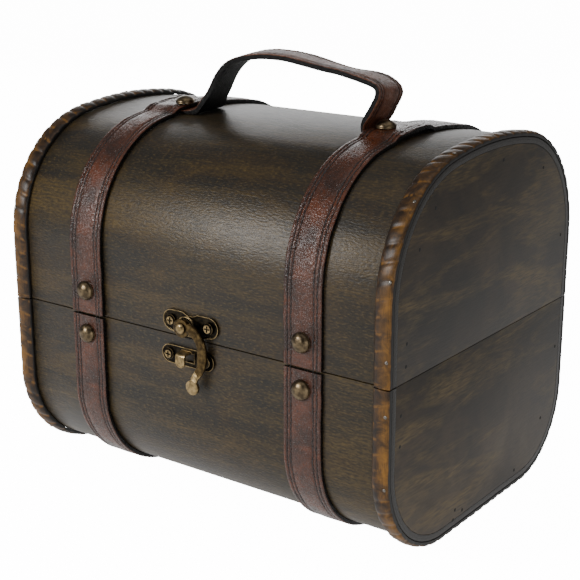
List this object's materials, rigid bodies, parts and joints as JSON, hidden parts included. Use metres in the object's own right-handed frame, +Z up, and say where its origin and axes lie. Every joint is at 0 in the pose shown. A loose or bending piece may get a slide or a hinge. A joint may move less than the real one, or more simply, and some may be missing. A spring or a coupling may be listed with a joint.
{
  "type": "treasure chest",
  "caption": "Domed wooden treasure chest box with cane rims, leather bands, a leather strap handle, a hinged lid and a swing-hook latch.",
  "frame": {"origin": "middle of the bounding box in X and Y, at the height of the surface the chest stands on", "axes": "+X along the chest to the right seen from the front, -Y out of the front with the latch, +Z up"},
  "size_m": [0.22, 0.173, 0.2093],
  "materials": {
    "stained_ply": "dark stained, satin lacquer",
    "stained_board": "dark stained, rubbed",
    "scorched_cane": "scorched cane, glossy",
    "oxblood_leather": "oxblood, stitched, glossy",
    "antique_brass": "antiqued, worn edges"
  },
  "bodies": {
    "base": {"base_shell": "stained_ply", "base_end_left": "stained_board", "base_end_right": "stained_board", "base_cane_left": "scorched_cane", "base_cane_right": "scorched_cane", "base_strap_left": "oxblood_leather", "base_strap_right": "oxblood_leather", "base_nail_front_left": "antique_brass", "base_nail_front_right": "antique_brass", "base_nail_rear_left": "antique_brass", "base_nail_rear_right": "antique_brass", "catch_plate": "antique_brass", "catch_screw_left": "antique_brass", "catch_screw_right": "antique_brass", "hinge_base_leaf_left": "antique_brass", "hinge_base_leaf_right": "antique_brass", "hinge_base_screw_left_left": "antique_brass", "hinge_base_screw_left_right": "antique_brass", "hinge_base_screw_right_left": "antique_brass", "hinge_base_screw_right_right": "antique_brass"},
    "lid": {"lid_shell": "stained_ply", "lid_end_left": "stained_board", "lid_end_right": "stained_board", "lid_cane_left": "scorched_cane", "lid_cane_right": "scorched_cane", "lid_strap_left": "oxblood_leather", "lid_strap_right": "oxblood_leather", "lid_nail_front_left": "antique_brass", "lid_nail_front_right": "antique_brass", "lid_nail_rear_left": "antique_brass", "lid_nail_rear_right": "antique_brass", "carry_handle": "oxblood_leather", "handle_nail_left": "antique_brass", "handle_nail_right": "antique_brass", "hook_plate": "antique_brass", "hook_screw_left": "antique_brass", "hook_screw_right": "antique_brass", "hook_rivet": "antique_brass", "hinge_lid_leaf_left": "antique_brass", "hinge_lid_leaf_right": "antique_brass", "hinge_pin_left": "antique_brass", "hinge_pin_right": "antique_brass", "hinge_lid_screw_left_left": "antique_brass", "hinge_lid_screw_left_right": "antique_brass", "hinge_lid_screw_right_left": "antique_brass", "hinge_lid_screw_right_right": "antique_brass"},
    "hook": {"latch_hook": "antique_brass"}
  },
  "joints": [
    {"name": "lid_hinge", "type": "hinge", "parent": "base", "child": "lid", "pos_m": [0.0023, 0.0832, 0.0874], "axis": [-1, 0, 0], "range_deg": [0, 110]},
    {"name": "latch_swing", "type": "hinge", "parent": "lid", "child": "hook", "pos_m": [-0.0002, -0.0842, 0.0929], "axis": [0, 1, 0], "range_deg": [-90, 24]}
  ]
}
